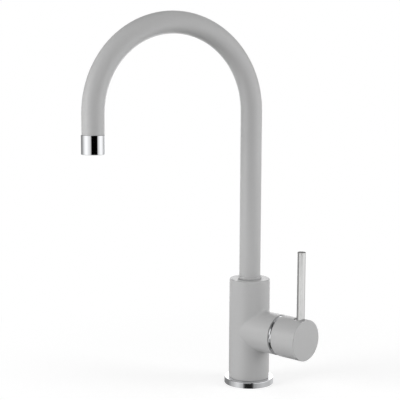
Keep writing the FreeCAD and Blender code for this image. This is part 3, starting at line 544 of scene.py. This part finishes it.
satin, tree, place = start_material("bead blasted stainless steel, painted shade on the top end")
dimples = add(tree, "TexVoronoi", {"Vector": place, "Scale": every(0.4)})
dull = spread(tree, noise(tree, place, 6, detail=3), 0.26, 0.34)
pin_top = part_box("lever_pin")[1].z
# The pin's top end: rougher there, and darker in colour as painted shade.
sawn_and_shaded_end = beyond(tree, along_axis(tree, place, "Z"), pin_top - SAWN_AND_SHADED_EDGE)
end_material(tree, add(tree, "BsdfPrincipled", {
    "Base Color": blend(tree, sawn_and_shaded_end, linear(BLASTED), linear(SAWN_PAINTED_SHADE)), "Metallic": 1.0,
    "Roughness": spread(tree, sawn_and_shaded_end, dull, SAWN_ROUGHNESS),
    "Normal": relief(tree, dimples.outputs["Distance"], 0.3)}))

steel, tree, place = start_material("drawn stainless steel")
lines = turned(tree, place, "Z", 0.4)
end_material(tree, add(tree, "BsdfPrincipled", {
    "Base Color": linear(DRAWN), "Metallic": 1.0,
    "Roughness": spread(tree, lines, 0.22, 0.36)}))
print("steel ready")

# %% [markdown]
# ## Zinc plated steel
#
# Stud and clamping plate are mild steel under bright zinc. Zinc is bluer and duller than chrome,
# and its passivated skin shows cloudy patches of faint yellow and blue, a few millimetres wide.

# %% Zinc plated steel
zinc, tree, place = start_material("zinc plated steel")
patches = noise(tree, place, 7, detail=4, roughness=0.6)
hue = add(tree, "ValToRGB", {0: patches})
for band, where, tint in zip(hue.color_ramp.elements, (0.35, 0.65), ("#B9C0C9", "#CFCDBF")):
    band.position, band.color = where, linear(tint)
crystals = add(tree, "TexVoronoi", {"Vector": place, "Scale": every(1.5)})
end_material(tree, add(tree, "BsdfPrincipled", {
    "Base Color": hue.outputs[0], "Metallic": 1.0,
    "Roughness": spread(tree, crystals.outputs["Distance"], 0.25, 0.42),
    "Normal": relief(tree, patches, 0.2)}))
print("zinc ready")

# %% [markdown]
# ## Rubber, plastics and ceramic
#
# The seals are black EPDM rubber: nearly black, matt, with a pale bloom of talc in patches.
# Bearings and cartridge pieces are moulded from acetal or nylon, which is slightly see-through, so
# it gets a little subsurface light, and the mould's spark-eroded texture, half a millimetre wide.
# The two ceramic discs are alumina, dense and ivory white, lapped until they are nearly a mirror.

# %% Rubber, plastics and ceramic
rubber, tree, place = start_material("black EPDM rubber")
dust = spread(tree, noise(tree, place, 5, detail=5, roughness=0.65), 0.0, 1.0, 0.45, 0.8)
grain = noise(tree, place, 0.5)
end_material(tree, add(tree, "BsdfPrincipled", {
    "Base Color": blend(tree, dust, linear("#222222"), linear("#3D3C3A")), "Roughness": 0.7,
    "IOR": 1.52, "Normal": relief(tree, grain, 0.3, depth_mm=0.04)}))


def moulded(name, colour, shade):
    """A moulded plastic: two close tones in soft clouds, and the mould's fine texture."""
    made, tree, place = start_material(name)
    tone = blend(tree, noise(tree, place, 14), linear(colour), linear(shade))
    spark = noise(tree, place, 0.5, detail=3)
    end_material(tree, add(tree, "BsdfPrincipled", {
        "Base Color": tone, "Roughness": 0.42, "IOR": 1.48, "Subsurface Weight": 0.15,
        "Subsurface Radius": (MM, MM, MM), "Normal": relief(tree, spark, 0.25)}))
    return made


acetal = moulded("white acetal", "#E9E8E2", "#DEDCD3")
nylon = moulded("grey glass-filled nylon", "#8C9095", "#7B7F84")
blue_acetal = moulded("blue acetal", "#5F86A8", "#557A9C")
plug_plastic = moulded("grey plug plastic", "#AFAFAF", "#A6A6A6")

alumina, tree, place = start_material("lapped alumina ceramic")
tone = blend(tree, noise(tree, place, 0.7, detail=3), linear("#F1EDE0"), linear("#E6E0CE"))
end_material(tree, add(tree, "BsdfPrincipled", {
    "Base Color": tone, "Roughness": 0.12, "IOR": 1.76}))
print("rubber, plastics and ceramic ready")

# %% [markdown]
# ## Dressing the CAD pieces
#
# Each piece takes one of the finishes. Only the material in its slot changes: the shapes stay as
# the CAD model has them, because those are what the physics and the drawings use.

# %% Dressing the CAD pieces
finish_of = {
    "mixer_body": coated_body, "handle_cap": coated_cap, "spout_socket": coated_foot,
    "spout_tube": lacquered, "top_ring": lacquered,
    "base_ring": chrome, "dome_cover": chrome, "aerator_housing": chrome,
    "lever_pin": satin, "pivot_pin": steel, "spout_grub_screw": steel, "handle_grub_screw": steel,
    "aerator_screen": steel,
    "outlet_adapter": brass_upright, "fixing_nut": brass_upright,
    "cartridge_nut": brass_crosswise, "spindle": brass_crosswise,
    "fixing_stud": zinc, "clamping_plate": zinc,
    "deck_seal": rubber, "base_o_ring": rubber, "cartridge_seals": rubber, "socket_o_rings": rubber,
    "aerator_gasket": rubber, "rubber_gasket": rubber,
    "upper_slide_ring": acetal, "lower_slide_ring": acetal, "disc_carrier": acetal,
    "aerator_insert": acetal, "rotor_guide": blue_acetal, "cartridge_base": nylon,
    "cartridge_housing": nylon, "screw_plug": plug_plastic,
    "fixed_ceramic_disc": alumina, "moving_ceramic_disc": alumina,
}
assert set(finish_of) == set(nodes), set(finish_of) ^ set(nodes)
for name, node in nodes.items():
    node.material_slots[0].material = finish_of[name]
print(len(finish_of), "pieces dressed in", len(set(finish_of.values())), "finishes")

# %% [markdown]
# ## Tools for modelling
#
# Three pieces are modelled again, because a thread, chamfers or a comb of cells is worth having as
# geometry. Blender's operators act on everything that is selected, so each step starts by
# deselecting all. `choose` then selects faces or edges by their place, as one would by clicking on
# them, and `hand_over` gives a finished piece its material and its place in the moving assembly.
# Points that are closer than a hundredth of a millimetre count as one, and an edge where the
# surface turns by less than 35 degrees is shaded smooth.

# %% Tools for modelling
NEAR, SMOOTH_BELOW = 0.01 * MM, math.radians(35)


def deselect():
    """Leaves edit mode and deselects everything."""
    if bpy.context.object and bpy.context.object.mode != "OBJECT":
        bpy.ops.object.mode_set(mode="OBJECT")
    bpy.ops.object.select_all(action="DESELECT")


def select_only(piece):
    """Selects this piece by itself."""
    deselect()
    piece.select_set(True)
    bpy.context.view_layer.objects.active = piece


def edit_all(piece):
    """Goes to edit mode with the whole piece selected."""
    select_only(piece)
    bpy.ops.object.mode_set(mode="EDIT")
    bpy.ops.mesh.select_all(action="SELECT")


def start_piece(primitive, name, **settings):
    """Adds a primitive by itself and names it."""
    deselect()
    getattr(bpy.ops.mesh, "primitive_" + primitive + "_add")(**settings)
    piece = bpy.context.object
    piece.name = piece.data.name = name
    bpy.ops.object.transform_apply(location=True, rotation=True, scale=True)
    return piece


def move_by(piece, step):
    """Moves the mesh, and leaves the object at the origin."""
    select_only(piece)
    bpy.ops.transform.translate(value=step)
    bpy.ops.object.transform_apply(location=True, rotation=True, scale=True)


def choose(piece, kind, test):
    """Goes to edit mode with only those faces or edges selected whose points all pass."""
    bpy.ops.object.mode_set(mode="EDIT")
    bpy.ops.mesh.select_mode(type=kind)
    bpy.ops.mesh.select_all(action="DESELECT")
    bpy.ops.object.mode_set(mode="OBJECT")
    mesh = piece.data
    for part in (mesh.polygons if kind == "FACE" else mesh.edges):
        part.select = all(test(mesh.vertices[i].co) for i in part.vertices)
    bpy.ops.object.mode_set(mode="EDIT")


def apply(piece, kind, name, **settings):
    """Puts one modifier on a piece and applies it."""
    select_only(piece)
    modifier = piece.modifiers.new(name, kind)
    for setting, value in settings.items():
        setattr(modifier, setting, value)
    bpy.ops.object.modifier_apply(modifier=name)


def cut_with(piece, tool, operation):
    """Combines a piece with a tool by a boolean, and throws the tool away."""
    apply(piece, "BOOLEAN", "boolean", object=tool, operation=operation, solver="EXACT")
    bpy.data.objects.remove(tool)


def hand_over(piece, node, material):
    """The finished piece stands for its CAD node, moves with the same body and takes its slot."""
    edit_all(piece)
    bpy.ops.mesh.normals_make_consistent(inside=False)
    bpy.ops.object.mode_set(mode="OBJECT")
    bpy.ops.object.shade_smooth_by_angle(angle=SMOOTH_BELOW)
    piece.data.materials.clear()
    piece.data.materials.append(material)
    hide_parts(node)
    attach(piece, nodes[node]["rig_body"])
    print(piece.name, "stands for", node, "with", len(piece.data.polygons), "faces")


# %% [markdown]
# ## A thread
#
# A screw thread is a V that climbs round a rod. The ISO metric thread starts from a triangle with
# equal sides, as long as the pitch. So the start is a three-cornered circle, stood upright with one
# corner outwards, an eighth of the triangle's height beyond the rod's radius. Its inner side goes,
# and the Screw modifier turns the V round the axis and lifts it by one pitch a turn. Two bisect
# cuts square off the ends. The sharp crests and the ends are then trimmed by a boolean with a
# bevelled cylinder of the nominal size, as a die does in the workshop.

# %% A thread
STUD_PITCH, THREAD_STEPS, END_BEVEL = 1.25 * MM, 32, 0.7


def threaded_rod(name, radius, pitch, low, high):
    """A closed threaded rod along the Z axis, from one height to another."""
    corner = pitch / math.sqrt(3)
    crest = radius + pitch * math.sqrt(3) / 2 / 8
    rod = start_piece("circle", name, vertices=3, radius=corner,
                      rotation=(math.pi / 2, math.pi / 2, 0),
                      location=(crest - corner, 0, low - pitch))
    choose(rod, "EDGE", lambda point: point.x < crest - corner)
    bpy.ops.mesh.delete(type="EDGE")
    apply(rod, "SCREW", "thread", screw_offset=pitch, steps=THREAD_STEPS,
          render_steps=THREAD_STEPS, iterations=math.ceil((high - low) / pitch) + 2)
    edit_all(rod)
    bpy.ops.mesh.remove_doubles(threshold=NEAR)
    for height, outward in ((low, -1), (high, 1)):
        bpy.ops.mesh.select_all(action="SELECT")
        bpy.ops.mesh.bisect(plane_co=(0, 0, height), plane_no=(0, 0, outward), use_fill=True,
                            clear_outer=True)
    bpy.ops.mesh.select_all(action="SELECT")
    bpy.ops.mesh.normals_make_consistent(inside=False)
    blank = start_piece("cylinder", "thread_blank", vertices=64, radius=radius, depth=high - low,
                        location=(0, 0, (low + high) / 2))
    for height in (low, high):
        choose(blank, "EDGE", lambda point: abs(point.z - height) < NEAR)
        bpy.ops.mesh.bevel(offset=pitch * END_BEVEL, affect="EDGES")
    cut_with(rod, blank, "INTERSECT")
    return rod


stud_low, stud_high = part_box("fixing_stud")
stud_r = (stud_high.x - stud_low.x) / 2
stud = threaded_rod("threaded_stud", stud_r, STUD_PITCH, stud_low.z, stud_high.z)
move_by(stud, ((stud_low.x + stud_high.x) / 2, 0, 0))
hand_over(stud, "fixing_stud", zinc)

# %% [markdown]
# ## The long nut
#
# The nut that pulls the tap down is a long hexagon of brass, so that a socket reaches it under the
# sink. Both ends are chamfered by 30 degrees, which rounds the corners and only nips the flats. A
# cylinder with six sides is the bar. `push_ends` pushes both ends of a cylinder out and widens
# or narrows them. A round cylinder with narrower ends gives the chamfers' cones, and the boolean
# of the two is the nut. A third cylinder, with flared ends, bores it.

# %% The long nut
HEX_ANGLE = CHAMFER_ANGLE = math.radians(30)
FACE_SHARE = 0.96
BORE_GAP, FLARE, FLARE_WIDTH = 0.05 * MM, 1 * MM, 1.3

hex_low, hex_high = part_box("fixing_nut")
hex_centre = middle("fixing_nut")
length = hex_high.z - hex_low.z
corner_r = (hex_high.x - hex_low.x) / 2
face_r = corner_r * math.cos(HEX_ANGLE) * FACE_SHARE
lead = (corner_r - face_r) * math.tan(CHAMFER_ANGLE)


def push_ends(piece, centre, half, out, scale):
    """Pushes both ends of an upright cylinder out by a step, and scales the new end faces."""
    for side in (-1, 1):
        end = centre.z + side * half
        choose(piece, "FACE", lambda point: abs(point.z - end) < NEAR)
        bpy.ops.mesh.extrude_region_move(TRANSFORM_OT_translate={"value": (0, 0, side * out)})
        bpy.ops.transform.resize(value=(scale, scale, 1), center_override=centre)


nut = start_piece("cylinder", "long_hex_nut", vertices=6, radius=corner_r, depth=length,
                  rotation=(0, 0, HEX_ANGLE), location=hex_centre)
cone = start_piece("cylinder", "chamfer_tool", vertices=96, radius=corner_r,
                   depth=length - 2 * lead, location=hex_centre)
push_ends(cone, hex_centre, length / 2 - lead, lead, face_r / corner_r)
cut_with(nut, cone, "INTERSECT")
bore = start_piece("cylinder", "bore_tool", vertices=64, radius=stud_r + BORE_GAP, depth=length,
                   location=hex_centre)
push_ends(bore, hex_centre, length / 2, FLARE, FLARE_WIDTH)
cut_with(nut, bore, "DIFFERENCE")
hand_over(nut, "fixing_nut", brass_upright)

# %% [markdown]
# ## The aerator's comb
#
# The outlet ends in a plastic comb of six-sided cells that lines the water up before it leaves. One
# cell is modelled as a flat hexagon and copied into a grid. Joined, merged and inset face by face,
# the grid becomes a net; its inner faces go, and Solidify gives the walls their depth. A boolean
# trims the net to a round plate, and another joins it to the cup round it, an open cylinder that
# Solidify gives its wall.

# %% The aerator's comb
CELL, CELL_WALL, CELL_MERGE = 1.2 * MM, 0.4 * MM, 0.02 * MM
COMB_DEPTH, CUP_WALL = 2.0 * MM, 1.5 * MM

cup_low, cup_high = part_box("aerator_insert")
cup_r = (cup_high.x - cup_low.x) / 2
comb_place = (outlet_axis.x, outlet_axis.y, cup_low.z)
comb = start_piece("circle", "aerator_comb", vertices=6, radius=CELL, fill_type="NGON",
                   location=comb_place)
across, onward = CELL * math.sqrt(3), CELL * 1.5
reach = math.ceil(cup_r / across) + 1
cells = []
for row in range(-reach, reach + 1):
    for column in range(-reach, reach + 1):
        step = Vector(((column + row % 2 / 2) * across, row * onward, 0))
        if (row or column) and step.length < cup_r:
            cell = comb.copy()
            cell.data = comb.data.copy()
            cell.data.transform(Matrix.Translation(step))
            bpy.context.scene.collection.objects.link(cell)
            cells.append(cell)
select_only(comb)
for cell in cells:
    cell.select_set(True)
bpy.ops.object.join()
edit_all(comb)
bpy.ops.mesh.select_mode(type="FACE")
bpy.ops.mesh.remove_doubles(threshold=CELL_MERGE)
bpy.ops.mesh.inset(thickness=CELL_WALL / 2, use_individual=True)
bpy.ops.mesh.delete(type="FACE")
apply(comb, "SOLIDIFY", "depth", thickness=COMB_DEPTH, offset=1)
lowest = min(point.co.z for point in comb.data.vertices)
move_by(comb, (0, 0, cup_low.z - lowest))
plate = start_piece("cylinder", "trim_tool", vertices=96, radius=cup_r - CUP_WALL / 2,
                    depth=4 * COMB_DEPTH, location=comb_place)
cut_with(comb, plate, "INTERSECT")
cup = start_piece("cylinder", "cup_wall", vertices=96, radius=cup_r, depth=cup_high.z - cup_low.z,
                  end_fill_type="NOTHING", location=middle("aerator_insert"))
apply(cup, "SOLIDIFY", "wall", thickness=CUP_WALL, offset=-1)
cut_with(comb, cup, "UNION")
hand_over(comb, "aerator_insert", acetal)
